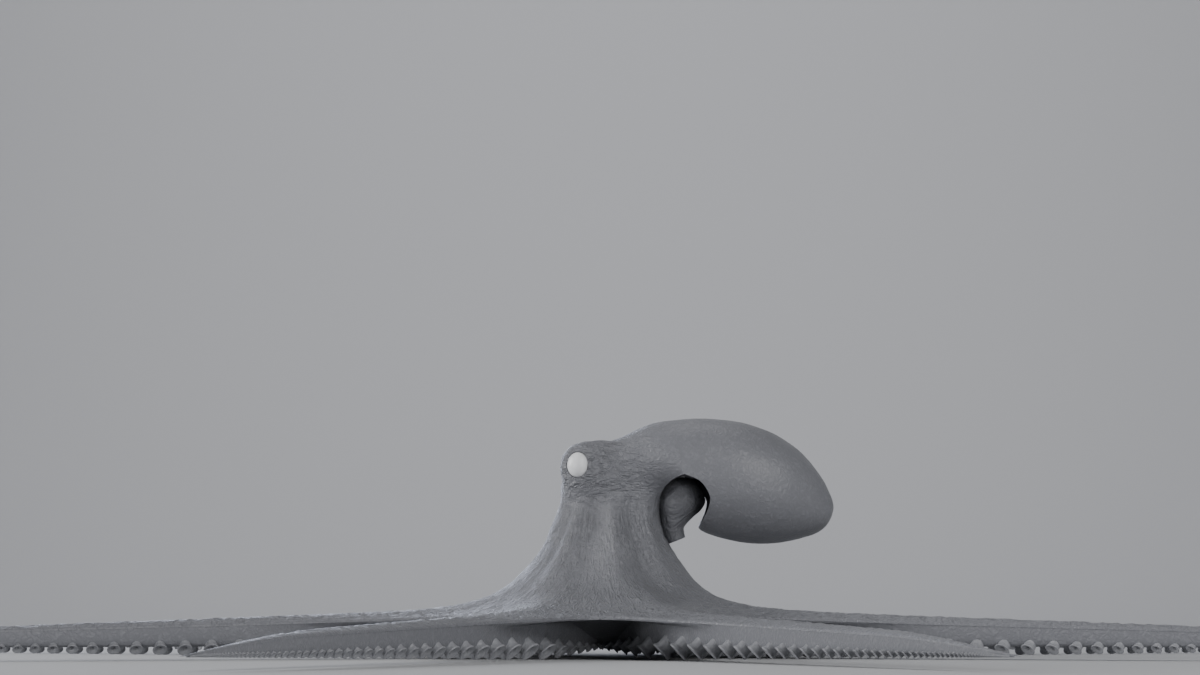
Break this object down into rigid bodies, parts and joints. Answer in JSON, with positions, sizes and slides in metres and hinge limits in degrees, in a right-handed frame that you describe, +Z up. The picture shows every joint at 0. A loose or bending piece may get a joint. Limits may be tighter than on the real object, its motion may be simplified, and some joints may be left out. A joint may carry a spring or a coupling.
{
  "type": "whole octopus",
  "caption": "Whole raw octopus with its arms laid out straight like a star, webbed at their roots, and the head bent over so that the mantle hangs level beside it.",
  "frame": {"origin": "on the ground under the centre of the crown, where the arms meet", "axes": "+Z up, +X towards the tip of the mantle, +Y towards the octopus's left"},
  "size_m": [0.9238, 0.9238, 0.1427],
  "materials": {
    "skin": "moist satin, finely wrinkled",
    "eye": "smooth moist gloss"
  },
  "bodies": {
    "root": {"octopus_body": "skin", "eye_left": "eye", "eye_right": "eye"}
  },
  "joints": []
}
